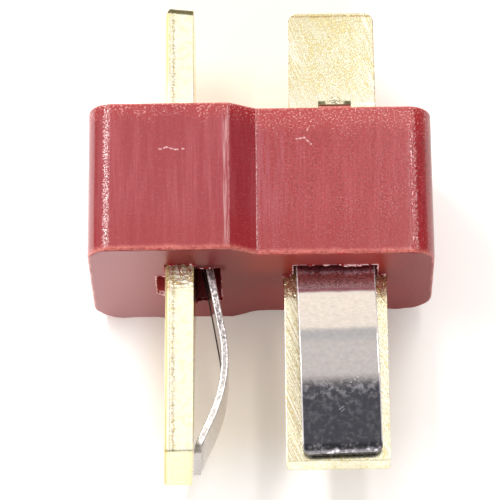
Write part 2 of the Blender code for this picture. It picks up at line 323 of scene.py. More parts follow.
class Paint:
    """The node tree of one material or of the world."""

    def __init__(self, tree):
        self.tree = tree
        tree.nodes.clear()

    def node(self, kind, settings=None, sockets=None, out=0):
        made = self.tree.nodes.new("ShaderNode" + kind)
        for name, value in (settings or {}).items():
            setattr(made, name, value)
        for key, value in (sockets or {}).items():
            if isinstance(value, Wire):
                self.tree.links.new(value.socket, made.inputs[key])
            else:
                made.inputs[key].default_value = value
        return Wire(self, made.outputs[out]) if made.outputs else None

    def place(self):
        """Where a point lies on its own piece, in millimetres."""
        here = self.node("TexCoord", out="Object")
        return self.node("VectorMath", {"operation": "SCALE"}, {0: here, "Scale": 1 / MM})

    def parts(self, vector):
        split = self.node("SeparateXYZ", sockets={0: vector})
        return [Wire(self, split.socket.node.outputs[i]) for i in range(3)]

    def stretch(self, vector, amounts):
        return self.node("VectorMath", {"operation": "MULTIPLY"}, {0: vector, 1: amounts})

    def turned(self, vector, angle):
        return self.node("VectorRotate", {"rotation_type": "Z_AXIS"}, {"Vector": vector, "Angle": angle})

    def grain(self, vector, scale, detail=2.0, roughness=0.5):
        sockets = {"Vector": vector, "Scale": scale, "Detail": detail, "Roughness": roughness}
        return self.node("TexNoise", sockets=sockets)

    def cell_edges(self, vector):
        """How far a point is from the nearest edge between cells."""
        return self.node("TexVoronoi", {"feature": "DISTANCE_TO_EDGE"}, {"Vector": vector, "Scale": 1.0})

    def rise(self, value, low, high):
        """0 below low, 1 above high, smooth between. It falls where low is above high."""
        sockets = {"Value": value, "From Min": low, "From Max": high}
        return self.node("MapRange", {"interpolation_type": "SMOOTHSTEP"}, sockets)

    def blend(self, share, first, second):
        sockets = {0: share, 6: shade(first), 7: shade(second)}
        return self.node("Mix", {"data_type": "RGBA"}, sockets, out=2)

    def jittered(self, vector, scale, amount):
        """The same place, moved about a little by noise."""
        sockets = {"Vector": vector, "Scale": scale, "Detail": 2.0}
        wander = self.node("TexNoise", sockets=sockets, out="Color")
        centred = self.node("VectorMath", {"operation": "SUBTRACT"}, {0: wander, 1: (0.5, 0.5, 0.5)})
        sockets = {0: centred, 1: (amount, amount, amount), 2: vector}
        return self.node("VectorMath", {"operation": "MULTIPLY_ADD"}, sockets)

    def scratch(self, vector, start, end, width):
        """1 on the line between two points and 0 a width away from it."""
        along = Vector(end) - Vector(start)
        away = self.node("VectorMath", {"operation": "SUBTRACT"}, {0: vector, 1: start})
        step = along / along.length_squared
        share = self.node("VectorMath", {"operation": "DOT_PRODUCT"}, {0: away, 1: step}, out="Value")
        sockets = {0: along, "Scale": self.rise(share, 0.0, 1.0)}
        nearest = self.node("VectorMath", {"operation": "SCALE"}, sockets)
        gap = self.node("VectorMath", {"operation": "DISTANCE"}, {0: away, 1: nearest}, out="Value")
        return self.rise(gap, width, 0.3 * width)

    def relief(self, height, distance, strength):
        sockets = {"Height": height, "Distance": distance, "Strength": strength}
        return self.node("Bump", sockets=sockets)

    def surface(self, sockets):
        shader = self.node("BsdfPrincipled", sockets=sockets)
        self.node("OutputMaterial", sockets={"Surface": shader})


def shade(colour):
    """A colour as a Mix socket takes it: a wire as it is, three numbers with a fourth added."""
    return colour if isinstance(colour, Wire) else (*colour, 1.0)


def new_material(name):
    made = bpy.data.materials.new(name)
    made.use_nodes = True
    return made, Paint(made.node_tree)


def draw_marks(paint, place):
    """Fine streaks that the mould left along the body as it drew off."""
    broad = paint.grain(paint.stretch(place, (3.2, 0.22, 3.2)), 1.0, 3.0, 0.6)
    fine = paint.grain(paint.stretch(place, (14.0, 0.5, 14.0)), 1.0, 2.0, 0.6)
    return broad * 0.6 + fine * 0.4


def red_nylon():
    """Streaked red moulding, sandy at its solder end, and pale on its ridge and large corners with wear
    and painted highlight.

    Places are in millimetres. What the photo shows as gloss on the corners and the ridge is in part
    painted here, because the lamps alone give less of it.
    """
    made, paint = new_material("moulded_red_nylon")
    place = paint.place()
    x, y, z = paint.parts(place)
    tilt = abs(paint.parts(paint.node("TexCoord", out="Normal"))[0])
    marks = draw_marks(paint, place)
    cloud = paint.grain(place, 0.9, 3.0)
    sand = paint.grain(place, 9.0, 3.0, 0.65)
    grit = paint.grain(place, 16.0, 1.0, 0.6)
    pebbles = paint.grain(place, 12.0, 0.5, 0.5)
    sides = paint.rise(y, 0.05, 0.25)
    mating_face = paint.rise(y, 0.05, 0.01)
    thin_half = paint.rise(x, -0.4, 0.0)
    solder_rim = paint.rise(y + cloud * 1.4 + thin_half * 0.5, 7.0, 8.2)
    turning = paint.rise(tilt, 0.04, 0.12) * paint.rise(tilt, 0.40, 0.28)

    # Streaks, mottle and the tints of the two ends
    pale = paint.rise(marks, 0.42, 0.66) * sides
    ground = paint.blend(thin_half, THICK_HALF_NYLON, THIN_HALF_NYLON)
    streak = paint.blend(thin_half, THICK_HALF_STREAK, THIN_HALF_STREAK)
    colour = paint.blend(pale, ground, streak)
    # Painted shade on the key slope, the steep parts of the corners and the sides
    colour = paint.blend(paint.rise(tilt, 0.35, 0.45) * 0.25, colour, STEEP_FACE_SHADE_NYLON)
    mottle = paint.rise(paint.grain(paint.jittered(place, 5.0, 0.2), 8.0, 2.0), 0.38, 0.62)
    colour = paint.blend(mottle * (thin_half * 0.5 + 0.2), colour, MOTTLED_NYLON)
    # A painted lilac sheen on the pale streaks of the thin half
    lilac_sheen = thin_half * paint.rise(x + cloud, 3.4, 0.9) * pale
    colour = paint.blend(lilac_sheen * 0.5, colour, LILAC_SHEEN_NYLON)
    colour = paint.blend(paint.rise(y, 2.6, 0.8) * 0.5, colour, MATING_END_NYLON)
    colour = paint.blend(solder_rim * 0.8, colour, SOLDER_END_NYLON)

    # Pale flecks, in part grain and in part painted glints, thick at the solder end
    sandy = solder_rim * (0.85 - thin_half * 0.2) + thin_half * paint.rise(cloud, 0.3, 0.7) * 0.12 + 0.06
    fleck_and_glint = paint.rise(paint.grain(place, 12.0, 1.5, 0.6), 0.57, 0.66) * sandy * sides
    colour = paint.blend(fleck_and_glint * 0.9, colour, FLECK_AND_GLINT_NYLON)

    # Wear and painted highlight on the ridge, and painted highlight at the foot of the slope and on the
    # large corners
    ridge = paint.rise(x, -1.80, -1.60) * paint.rise(x, -1.46, -1.54) * paint.rise(marks, 0.4, 0.65)
    foot = paint.rise(abs(x + 0.14) - pebbles * 0.08, 0.030, 0.0) * paint.rise(grit, 0.40, 0.56)
    corner = paint.rise(tilt, 0.08, 0.16) * paint.rise(tilt, 0.38, 0.30) * paint.rise(abs(x), 6.2, 6.7)
    corner = corner * paint.rise(pebbles, 0.50, 0.62) * (0.16 + paint.rise(x, 0.0, -1.0) * 0.44)
    wear_and_highlight = (ridge * 0.62 + foot * 0.08) * paint.rise(z, 2.0, 3.0) * sides
    wear_and_highlight = wear_and_highlight + corner * sides * (1.0 - solder_rim * 0.5)
    colour = paint.blend(wear_and_highlight, colour, WORN_AND_HIGHLIGHT_NYLON)

    # Painted highlight on the rims of the two ends, and painted light on the walls inside the openings
    rim_highlight = paint.rise(y, 0.015, 0.04) * paint.rise(y + cloud * 0.24, 0.46, 0.12)
    rim_highlight = rim_highlight + paint.rise(y, 7.30, 7.38) * 0.4
    colour = paint.blend(rim_highlight * paint.rise(sand, 0.22, 0.62), colour, RIM_HIGHLIGHT_NYLON)
    # Painted light that brightens the shaded walls inside the openings
    inside = paint.rise(abs(z), 3.2, 3.0) * paint.rise(abs(x), 7.5, 7.3)
    inside = inside * paint.rise(y, 0.04, 0.12) * paint.rise(y, 7.40, 7.30)
    colour = paint.blend(inside, colour, OPENING_FILL_LIGHT_NYLON)

    # Mating face: a painted warm reflection of the brass beside it, and dark over the left pocket
    brass_reflection = mating_face * paint.rise(abs(x - 2.6), 4.4, 2.4) * paint.rise(z, 0.6, 2.2)
    colour = paint.blend(brass_reflection * 0.7, colour, BRASS_REFLECTION_NYLON)
    ledge = paint.rise(abs(x + 2.42) + sand * 0.5, 1.08, 0.90) * mating_face
    ledge = ledge * paint.rise(z, 1.60, 1.65) * paint.rise(z + sand * 0.8, 2.86, 2.50)
    colour = paint.blend(ledge * 0.9, colour, LEDGE_NYLON)

    # Scratches on the front
    wavy = paint.stretch(paint.jittered(place, 5.0, 0.05), (1.0, 1.0, 0.0))
    front = paint.rise(z, 2.0, 3.0) * (0.55 + paint.rise(grit, 0.35, 0.65) * 0.45)
    for start, end in NYLON_SCRATCHES:
        line = paint.scratch(wavy, start, end, 0.06) * front
        colour = paint.blend(line * 0.75, colour, SCRATCHED_NYLON)

    rough = 0.32 - sides * 0.18 + marks * 0.08 + solder_rim * 0.03 + ledge * 0.3 - turning * 0.07
    bumps = marks * 0.25 + sand * (0.30 + sandy * 0.1 - turning * 0.2) + pebbles * turning * 1.7
    bumps = bumps + grit * (sandy * 0.35 + 0.06)
    normal = paint.relief(bumps * sides, NYLON_BUMP, 0.9)
    paint.surface({"Base Color": colour, "Roughness": rough, "Normal": normal, "IOR": NYLON_IOR})
    return made


def ragged_flash(name, leaf_side_share):
    """Red flash that is pale where it is thin, and glows a little there: painted light that stands for
    light shining through.
    """
    made, paint = new_material(name)
    place = paint.place()
    z = paint.parts(place)[2]
    mottle = paint.grain(place, 7.0, 3.0)
    outer = paint.rise(z, -0.72, -0.80) * 0.15 + paint.rise(z, 0.72, 0.80) * leaf_side_share
    thin = paint.rise(mottle + outer, 0.57, 0.64)
    colour = paint.blend(thin, LOW_FLASH, THIN_FLASH)
    # Painted glow where the flash is thin
    glow = paint.blend(thin, BLACK, THIN_FLASH_PAINTED_GLOW)
    sockets = {"Base Color": colour, "Emission Color": glow}
    sockets["Emission Strength"] = THIN_FLASH_PAINTED_GLOW_STRENGTH
    paint.surface({**sockets, "Roughness": 0.45, "IOR": FLASH_IOR})
    return made


def bright_brass(name, tip_colour):
    """Stamped brass: grained faces, sheared sides with a torn line, and drag marks at the mouth.

    Places are in millimetres on the contact itself, with +Z on the side of its leaf spring.
    """
    made, paint = new_material(name)
    place = paint.place()
    x, y, z = paint.parts(place)
    facing = paint.parts(paint.node("TexCoord", out="Normal"))
    down = -1.0 * facing[1]
    away = -1.0 * facing[2]
    cut_side = paint.rise(abs(facing[0]), 0.55, 0.85)
    flat_face = paint.rise(abs(facing[2]), 0.80, 0.95)
    sand = paint.grain(place, 19.0, 3.0, 0.65)
    grit = paint.grain(place, 11.0, 1.0, 0.6)
    cloud = paint.grain(place, 1.3, 3.0, 0.6)
    on_tab = paint.rise(y, 7.2, 7.8)
    mouth = paint.rise(y + cloud * 0.8, -1.1, -0.3) * paint.rise(y, 1.0, 0.3)

    # Faces, cut sides and rolled edge
    colour = paint.blend(cut_side, FACE_BRASS, CUT_BRASS)
    soft_patch = paint.rise(paint.grain(place, 3.0, 4.0, 0.6), 0.42, 0.70)
    colour = paint.blend(soft_patch * cut_side * 0.50, colour, YELLOW_BRASS)
    colour = paint.blend(paint.rise(down, 0.8, 0.95), colour, tip_colour)
    rolled = paint.rise(away, 0.02, 0.12) * paint.rise(away, 0.999, 0.97)
    colour = paint.blend(rolled, colour, ROLLED_BRASS)
    roll_line = paint.rise(abs(z + 0.47), 0.035, 0.015) * paint.rise(grit, 0.38, 0.52)
    colour = paint.blend(roll_line * (on_tab * 0.35 + 0.6), colour, BROWN_BRASS)

    # Grain, and the tint of the tab
    grainy = paint.rise(grit + on_tab * 0.04, 0.42, 0.60)
    grainy = grainy * (paint.rise(cloud, 0.35, 0.65) * 0.6 + 0.35 + paint.rise(y, 8.0, 10.5) * 0.25)
    colour = paint.blend(grainy * (1.0 - cut_side * 0.8), colour, TAN_BRASS)
    colour = paint.blend(on_tab * paint.rise(y, 10.4, 8.4) * 0.45, colour, PALE_BRASS)
    tab_end = paint.rise(y + cloud * 0.8, 12.9, 14.0) * paint.rise(sand, 0.35, 0.6)
    colour = paint.blend(tab_end * flat_face * 0.7, colour, TAN_BRASS)

    # Drag lines on the flat faces, dark and dense at the mouth
    slant = paint.turned(place, DRAG_ANGLE)
    drag = paint.grain(paint.stretch(slant, (21.0, 0.30, 21.0)), 1.0, 2.0, 0.6)
    near_side = paint.rise(abs(x), 0.8, 1.5)
    bright_lines = paint.rise(drag, 0.54, 0.59) * paint.rise(cloud, 0.38, 0.52) * flat_face * near_side
    dark_lines = paint.rise(drag, 0.45, 0.41) * flat_face
    colour = paint.blend(bright_lines * 0.9, colour, PALE_BRASS)
    blade = paint.rise(y, 0.5, 0.0) * paint.rise(x, 1.0, -1.0) * 0.34
    colour = paint.blend(dark_lines * (mouth * 0.7 + blade + 0.08), colour, BROWN_BRASS)

    # Torn line and strokes of the punch on the cut sides
    teeth = paint.grain(paint.stretch(place, (0.2, 5.0, 0.2)), 1.0, 4.0, 0.7)
    torn = paint.rise(abs(z + 0.47 - teeth * 0.36), 0.065, 0.02) * paint.rise(sand, 0.38, 0.52)
    strokes = paint.rise(paint.grain(paint.stretch(place, (1.0, 12.0, 2.5)), 1.0, 2.0), 0.50, 0.58)
    strokes = strokes * paint.rise(z, -0.44, -0.36) * paint.rise(z, -0.12, -0.26)
    torn = (torn * 0.7 + strokes * 0.45) * cut_side
    colour = paint.blend(torn, colour, TORN_BRASS)

    # Crackle at the mouth, and tarnish on the stub at the tab's end
    skid = paint.cell_edges(paint.stretch(paint.jittered(place, 4.0, 0.22), (1.0, 7.0, 2.2)))
    crackle = paint.rise(skid, 0.10, 0.02) * mouth * paint.rise(cloud, 0.3, 0.5)
    colour = paint.blend(crackle * 0.9, colour, BROWN_BRASS)
    stub = paint.rise(y + z * 0.12 + sand * 0.12, 13.13, 13.21) * (1.0 - flat_face)
    colour = paint.blend(stub * paint.rise(sand, 0.22, 0.42), colour, OLIVE_BRASS)

    # Painted shade in the stake groove and at its ends, and scuffs beside it
    off_centre = abs(x - STAKE_OFFSET / MM)
    past = y - STAKE_GROOVE_Y / MM
    groove_shade_and_scuffs = paint.rise(z, 0.652, 0.640) * paint.rise(abs(past), 0.22, 0.16)
    ends = paint.rise(off_centre, 0.36, 0.50) * paint.rise(past, 0.36, 0.28) * paint.rise(past, -0.2, -0.1)
    groove_shade_and_scuffs = (groove_shade_and_scuffs + ends * flat_face * paint.rise(z, 0.5, 0.6)) * paint.rise(off_centre, 0.80, 0.76)
    scuffs = paint.rise(off_centre + abs(past - 0.3), 0.50, 0.15) * paint.rise(grit, 0.44, 0.54)
    groove_shade_and_scuffs = groove_shade_and_scuffs * paint.rise(sand, 0.2, 0.5) + scuffs * flat_face * 0.8
    colour = paint.blend(groove_shade_and_scuffs, colour, OLIVE_BRASS)

    # Brown borders of the cut sides, and a line just inside the outline of the tab
    border = paint.rise(abs(z), 0.62, 0.65) * cut_side
    colour = paint.blend(border * paint.rise(sand, 0.40, 0.60) * 0.6, colour, BROWN_BRASS)
    from_side = abs(x) + (y - BODY_END / MM) * TAB_TAPER
    from_end = y + cloud * 0.1
    outline = paint.rise(from_side, 2.01, 2.04) + paint.rise(from_end, 13.40, 13.45)
    outline = outline * (1.0 - paint.rise(from_side, 2.06, 2.08))
    outline = outline * (1.0 - paint.rise(from_end, 13.53, 13.56))
    outline = outline * on_tab * flat_face * paint.rise(sand, 0.35, 0.55)
    colour = paint.blend(outline * 0.9, colour, OUTLINE_BRASS)

    turned = paint.rise(down, 0.08, 0.25) * paint.rise(down, 0.97, 0.85)
    scuffed = mouth * cut_side * paint.rise(skid, 0.14, 0.30)
    rough = 0.12 + sand * 0.08 + grainy * 0.06 + crackle * 0.2 + cut_side * 0.06
    rough = rough + (rolled + border + outline + turned) * 0.32 + scuffed * 0.40
    relief = sand * (0.35 - cut_side * 0.27) + drag * flat_face * 0.35 - crackle * 1.6
    normal = paint.relief(relief, BRASS_BUMP, 0.8)
    paint.surface({"Base Color": colour, "Metallic": 1.0, "Roughness": rough, "Normal": normal})
    return made


def leaf_steel(name, low_colour, lip_shade):
    """Bright strip: mottled faces, a reddish root that is a painted reflection, speckled cut edges with
    painted highlight on their borders, and painted shade on a hollow side and on the lip.
    """
    made, paint = new_material(name)
    place = paint.place()
    x, y = paint.parts(place)[:2]
    facing = paint.parts(paint.node("TexCoord", out="Normal"))
    mottle = paint.grain(place, 4.5, 3.0, 0.6)
    sand = paint.grain(place, 12.0, 2.0, 0.6)
    side = paint.rise(abs(facing[0]), 0.80, 0.97)
    border = paint.rise(abs(facing[0]), 0.10, 0.35) - side
    root = paint.rise(y, -1.35, -1.15)
    low_leg = paint.rise(y, -5.5, -6.1)
    lip = paint.rise(y, -8.40, -8.55)

    # Faces, and the root with a painted reflection of the red body
    colour = paint.blend(mottle, STEEL, LIGHT_STEEL)
    painted_root_reflection = paint.blend(paint.rise(sand, 0.35, 0.65), ROOT_STEEL, LIGHT_ROOT_STEEL)
    painted_root_reflection = paint.blend(paint.rise(y, -1.02, -1.20), painted_root_reflection, PINK_ROOT_STEEL)
    colour = paint.blend(root, colour, painted_root_reflection)

    # Cut edges, and a painted highlight on their rounded borders
    speck = paint.rise(paint.grain(place, 7.5, 2.0, 0.55), 0.40, 0.64)
    edge_colour = paint.blend(speck, CUT_STEEL, LIGHT_CUT_STEEL)
    edge_colour = paint.blend(paint.rise(y, -3.2, -4.6) * 0.4, edge_colour, CREST_CUT_STEEL)
    colour = paint.blend(side, colour, edge_colour)
    colour = paint.blend(border * paint.rise(sand, 0.35, 0.60), colour, BORDER_HIGHLIGHT_STEEL)

    # Glints, and painted shade, near black, on the hollow side of the lower leg
    glints = [paint.scratch(place, start, end, 0.035) for start, end in LEAF_GLINTS]
    glinting = sum(glints[1:], glints[0]) * paint.rise(sand, 0.4, 0.55)
    colour = paint.blend(glinting, colour, WHITE)
    hollow_shade = paint.rise(facing[2], -0.6, -0.9) * paint.rise(x, 0.3, 0.7) * paint.rise(y, -5.6, -5.2)
    colour = paint.blend(hollow_shade, colour, SHADE_STEEL)

    # Lower leg, and painted shade in blotches on the lip
    colour = paint.blend(low_leg * 0.5, colour, low_colour)
    colour = paint.blend(lip * paint.rise(mottle, 0.66, 0.54) * lip_shade, colour, LIP_SHADE_STEEL)
    tip = paint.rise(-1.0 * facing[1], 0.55, 0.80) * lip
    colour = paint.blend(tip * 0.75, colour, TIP_STEEL)

    tarnish = paint.rise(mottle, 0.36, 0.66) * low_leg * 0.17
    rough = 0.07 + mottle * 0.05 + side * 0.12 + (border + glinting) * 0.26 + root * 0.16 + tarnish
    rough = rough + hollow_shade * 0.7 + border * 0.15 + lip * 0.10
    relief = mottle * (0.4 + low_leg * 0.4 + lip * 0.8) + sand * (0.2 + root * 0.3)
    normal = paint.relief(relief, STEEL_BUMP, 0.7)
    metal = 1.0 - hollow_shade - border * 0.5
    paint.surface({"Base Color": colour, "Metallic": metal, "Roughness": rough, "Normal": normal})
    return made


def rounded_outline(corners, spacing):
    """Points round a closed polygon, anticlockwise, each with its outward normal.

    corners holds (x, y, radius, steps) for each corner, and no side has a step over spacing.
    """
    arcs = []
    for i, (x, y, radius, steps) in enumerate(corners):
        here = Vector((x, y))
        back = (Vector(corners[i - 1][:2]) - here).normalized()
        ahead = (Vector(corners[(i + 1) % len(corners)][:2]) - here).normalized()
        start_normal = Vector((-back.y, back.x))
        turn = atan2((-back).cross(ahead), (-back).dot(ahead))
        side = 1 if turn > 0 else -1
        centre = here + back * radius * tan(abs(turn) / 2) - start_normal * radius * side
        arc = []
        for step in range(steps + 1):
            normal = Matrix.Rotation(turn * step / steps, 2) @ start_normal
            arc.append((centre + normal * radius * side, normal))
        arcs.append(arc)
    outline = []
    for arc, following in zip(arcs, arcs[1:] + arcs[:1]):
        outline += arc
        (start, normal), (end, _) = arc[-1], following[0]
        count = ceil((end - start).length / spacing)
        outline += [(start.lerp(end, k / count), normal) for k in range(1, count)]
    return outline


def rounded_end(radius, end, inward):
    """Levels that round the edge at one end of a prism, from the end face inwards."""
    levels = []
    for step in range(EDGE_STEPS + 1):
        angle = pi / 2 * step / EDGE_STEPS
        levels.append((radius * (1 - sin(angle)), end + inward * radius * (1 - cos(angle))))
    return levels


def skin(name, rings, finish, closed_ends=True):
    """A mesh over rings of points that follow each other. Each ring closes on itself."""
    shape = bmesh.new()
    loops = [[shape.verts.new(point) for point in ring] for ring in rings]
    for low, high in zip(loops, loops[1:] + ([] if closed_ends else loops[:1])):
        for i in range(len(low)):
            j = (i + 1) % len(low)
            shape.faces.new((low[i], low[j], high[j], high[i]))
    if closed_ends:
        shape.faces.new(loops[0][::-1])
        shape.faces.new(loops[-1])
    return mesh_object(name, shape, finish)


def flatten_ends(mesh):
    """Shades the large flat faces by their own direction alone."""
    for face in mesh.polygons:
        if len(face.vertices) > LARGE_FACE_CORNERS:
            face.use_smooth = False


def mesh_object(name, shape, finish=None):
    bmesh.ops.recalc_face_normals(shape, faces=shape.faces)
    mesh = bpy.data.meshes.new(name)
    shape.to_mesh(mesh)
    shape.free()
    mesh.shade_smooth()
    mesh.set_sharp_from_angle(angle=SHARP_ANGLE)
    flatten_ends(mesh)
    if finish:
        mesh.materials.append(finish)
    made = bpy.data.objects.new(name, mesh)
    bpy.context.scene.collection.objects.link(made)
    return made


def box(name, x_range, y_range, z_range):
    shape = bmesh.new()
    bmesh.ops.create_cube(shape, size=1.0)
    lows, highs = zip(x_range, y_range, z_range)
    for vert in shape.verts:
        for axis in range(3):
            vert.co[axis] = highs[axis] if vert.co[axis] > 0 else lows[axis]
    return mesh_object(name, shape)


def settle(target, tools, operation):
    """Cuts each tool from the target, or joins it on, and removes the tool."""
    for tool in tools:
        modifier = target.modifiers.new(tool.name, "BOOLEAN")
        modifier.operation = operation
        modifier.solver = "EXACT"
        modifier.object = tool
    bpy.context.view_layer.update()
    graph = bpy.context.evaluated_depsgraph_get()
    mesh = bpy.data.meshes.new_from_object(target.evaluated_get(graph))
    target.modifiers.clear()
    target.data = mesh
    for tool in tools:
        bpy.data.objects.remove(tool)
    mesh.set_sharp_from_angle(angle=SHARP_ANGLE)
    flatten_ends(mesh)


def spaced(start, end, spacing):
    """Values strictly between start and end, evenly spaced."""
    count = ceil(abs(end - start) / spacing)
    return [start + (end - start) * k / count for k in range(1, count)]


def seats():
    """Each contact's middle plane where it meets the mating face, in the frame."""
    return {
        "edge": Matrix.Translation((EDGE_CONTACT_X, 0, 0)) @ Matrix.Rotation(pi / 2, 4, "Y"),
        "flat": Matrix.Translation((FLAT_CONTACT_X, 0, FLAT_CONTACT_Z)),
    }


def body_outline():
    side = BODY_WIDTH / 2
    thick = THICK_HALF_DEPTH / 2
    thin = THIN_HALF_DEPTH / 2
    foot = RIDGE_X + KEY_SLOPE_WIDTH
    return rounded_outline(
        [
            (-side, -thick, BACK_CORNER_RADIUS, CORNER_STEPS),
            (RIDGE_X, -thick, RIDGE_RADIUS, SMALL_CORNER_STEPS),
            (foot, -thin, FOOT_RADIUS, SMALL_CORNER_STEPS),
            (side, -thin, BACK_CORNER_RADIUS, CORNER_STEPS),
            (side, thin, FRONT_CORNER_RADIUS, CORNER_STEPS),
            (foot, thin, FOOT_RADIUS, SMALL_CORNER_STEPS),
            (RIDGE_X, thick, RIDGE_RADIUS, SMALL_CORNER_STEPS),
            (-side, thick, FRONT_CORNER_RADIUS, CORNER_STEPS),
        ],
        BODY_SPACING,
    )


def moulded_body(finish):
    outline = body_outline()
    mating = rounded_end(END_EDGE_RADIUS, 0.0, 1)
    solder = rounded_end(END_EDGE_RADIUS, BODY_END, -1)[::-1]
    middle = [(0.0, y) for y in spaced(mating[-1][1], solder[0][1], BODY_SPACING)]
    rings = []
    for inset, y in mating + middle + solder:
        near_rim = max(0.0, 1 - y / RIM_WAVE_REACH) if inset < END_EDGE_RADIUS else 0.0
        ring = []
        for point, normal in outline:
            wave = noise.noise(Vector((point.x, 0, point.y)) * RIM_WAVES_PER_METRE) * RIM_WAVE * near_rim
            at = point - normal * (inset + abs(wave) * 0.5)
            ring.append((at.x, y + wave, at.y))
        rings.append(ring)
    body = skin("nylon_body", rings, finish)
    settle(body, [stake_pad(name, seat) for name, seat in seats().items()], "UNION")
    cutters = [cutter for name, seat in seats().items() for cutter in slot_cutters(name, seat)]
    settle(body, cutters, "DIFFERENCE")
    return body


def stake_pad(name, seat):
    half = STAKE_WIDTH / 2
    near = FACE + SLOT_CLEARANCE
    pad = box(
        name + "_stake_pad",
        (STAKE_OFFSET - half, STAKE_OFFSET + half),
        (SHOULDER_Y, STAKE_PAD_TOP),
        (near, near + STAKE_PAD_DEPTH),
    )
    pad.matrix_world = seat
    return pad


def slot_cutters(name, seat):
    past = -CUTTER_MARGIN
    blade = BLADE_WIDTH / 2 + SLOT_CLEARANCE
    tab = TAB_ROOT_WIDTH / 2 + SLOT_CLEARANCE
    face = FACE + SLOT_CLEARANCE
    pocket = LEAF_WIDTH / 2 + POCKET_BESIDE_LEAF
    pocket_end = leaf_path()[-1][0] + POCKET_BEHIND_LEAF
    relief = RELIEF_WIDTH / 2
    openings = {
        "blade_slot": ((-blade, blade), (past, SHOULDER_Y + SLOT_CLEARANCE), (-face, face)),
        "tab_slot": ((-tab, tab), (0.0, BODY_END + CUTTER_MARGIN), (-face, face)),
        "leaf_pocket": ((-pocket, pocket), (past, pocket_end), (0.0, pocket_top())),
        "relief_notch": ((-relief, relief), (past, RELIEF_LENGTH), (-face - RELIEF_DEPTH, 0.0)),
    }
    made = [box(f"{name}_{part}", *sides) for part, sides in openings.items()]
    for cutter in made:
        cutter.matrix_world = seat
    return made


def pocket_top():
    return FACE + leaf_mouth_height() + LEAF_GAUGE / 2 + POCKET_OVER_LEAF


def mouth_outline():
    """The edge of one contact's opening in the mating face, in the frame of its seat."""
    blade = BLADE_WIDTH / 2 + SLOT_CLEARANCE
    face = FACE + SLOT_CLEARANCE
    pocket = LEAF_WIDTH / 2 + POCKET_BESIDE_LEAF
    relief = RELIEF_WIDTH / 2
    right = [
        (relief, -face - RELIEF_DEPTH),
        (relief, -face),
        (blade, -face),
        (blade, face),
        (pocket, face),
        (pocket, pocket_top()),
    ]
    return right + [(-x, z) for x, z in reversed(right)]


def mouth_flash(name, seat, finish):
    """A ragged fin of flash all round the opening of one contact, on the mating face."""
    corners = [(x, z, FLASH_SPACING / 4, 1) for x, z in mouth_outline()]
    rings = []
    for point, outward in rounded_outline(corners, FLASH_SPACING):
        ragged = noise.noise(Vector((point.x, point.y, len(name))) * FLASH_TEETH_PER_METRE)
        swell = noise.noise(Vector((point.x, len(name), point.y)) * FLASH_SWELLS_PER_METRE)
        height = FLASH_HEIGHT * max(0.05, 0.40 + 1.1 * ragged + 0.6 * swell)
        lean = FLASH_LEAN * max(0.05, 0.45 + 1.3 * ragged)
        section = (
            (FLASH_SEAT, FLASH_FOOT),
            (0.2 * FLASH_SEAT, -height),
            (-lean, -0.4 * height),
            (-FLASH_FOOT, FLASH_ROOT),
            (FLASH_SEAT, FLASH_ROOT),
        )
        ring = []
        for out, up in section:
            at = point + outward * out
            ring.append((at.x, up, at.y))
        rings.append(ring)
    flash = skin(name + "_mouth_flash", rings, finish, closed_ends=False)
    flash.matrix_world = seat
    return flash


def lean_outwards(piece):
    """Leans the edge contact's blade, or its leaf, more and more towards the tip.

    The lean is about a line that starts on the blade's front edge and rises from it towards the tip.
    """
    for vert in piece.data.vertices:
        at = piece.matrix_world @ vert.co
        share = max(0.0, at.y / BLADE_TIP)
        at.x -= EDGE_CONTACT_LEAN * share * (EDGE_HIGH.z - at.y * LEAN_PIVOT_SLOPE - at.z)
        vert.co = piece.matrix_world.inverted() @ at
    piece.data.update()


def contact_outline():
    blade = BLADE_WIDTH / 2
    right = [
        (blade, BLADE_TIP, BLADE_CORNER_RADIUS, SMALL_CORNER_STEPS),
        (blade, SHOULDER_Y, SHOULDER_RADIUS, SMALL_CORNER_STEPS),
        (TAB_ROOT_WIDTH / 2, SHOULDER_Y, SHOULDER_RADIUS, SMALL_CORNER_STEPS),
        (TAB_END_WIDTH / 2, TAB_END, TAB_CORNER_RADIUS, CORNER_STEPS),
    ]
    left = [(-x, y, radius, steps) for x, y, radius, steps in reversed(right)]
    return rounded_outline(right + left, CONTACT_SPACING)


def worn_tab_end(y, z):
    """Moves a point of the edge contact near its tab's end, which slants and is rounded off."""
    share = max(0.0, 1 - (TAB_END - y) / END_SLANT_REACH)
    rounded = CORNER_ROLL * share**2 * max(0.0, -0.5 - z / FACE)
    return y - END_SLANT * (z + FACE) * share, z + rounded


def contact(name, seat, finish):
    """One stamping, rolled at the edge away from its spring and torn along its cut sides above that."""
    outline = contact_outline()
    rolled = rounded_end(DIE_ROLL_RADIUS, -FACE, 1)
    sheared = rounded_end(SHEARED_EDGE_RADIUS, FACE, -1)[::-1]
    middle = [(0.0, z) for z in spaced(rolled[-1][1], sheared[0][1], CONTACT_SPACING)]
    rings = []
    for inset, z in rolled + middle + sheared:
        ring = []
        for point, normal in outline:
            wander = noise.noise(Vector((point.x, point.y, 0)) * TEAR_WAVES_PER_METRE)
            past_tear = z - TEAR_LINE - TEAR_WANDER * wander
            torn = min(1.0, max(0.0, past_tear / CONTACT_SPACING)) if inset == 0.0 else 0.0
            rough = 1 + 0.8 * noise.noise(Vector((point.x, point.y, z)) * TEAR_GRAINS_PER_METRE)
            at = point - normal * (inset + torn * TEAR_DEPTH * rough)
            end_y, end_z = worn_tab_end(at.y, z) if name == "edge" else (at.y, z)
            ring.append((at.x, end_y, end_z))
        rings.append(ring)
    blade = skin(name + "_brass", rings, finish)
    settle(blade, [stake_groove(name)], "DIFFERENCE")
    blade.matrix_world = seat
    return blade


